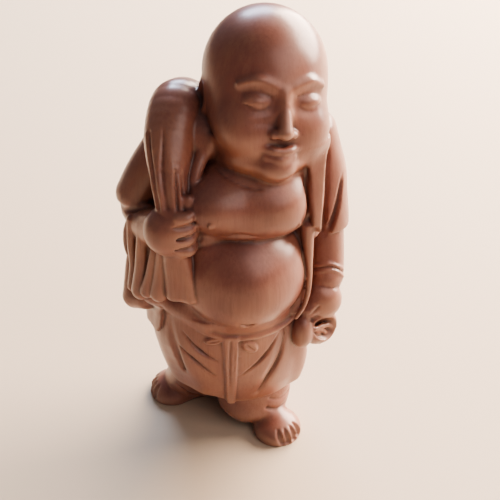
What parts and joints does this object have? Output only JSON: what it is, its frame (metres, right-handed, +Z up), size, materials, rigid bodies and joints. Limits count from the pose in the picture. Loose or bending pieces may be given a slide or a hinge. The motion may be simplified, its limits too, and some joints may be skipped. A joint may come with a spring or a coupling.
{
  "type": "standing buddha carving",
  "caption": "Standing bald, stout monk figure carved in one piece of waxed wood, with a sack over one shoulder, an open robe, a wrapped skirt and bare feet.",
  "frame": {"origin": "middle of the figure's bounding box seen from above, on the surface that it stands on", "axes": "+Z up through the head, -Y the way the figure faces, +X towards its left hand"},
  "size_m": [0.0785, 0.0691, 0.1579],
  "materials": {
    "wood": "reddish-brown hardwood, polished and waxed to a soft sheen"
  },
  "bodies": {
    "root": {"buddha_figure": "wood"}
  },
  "joints": []
}
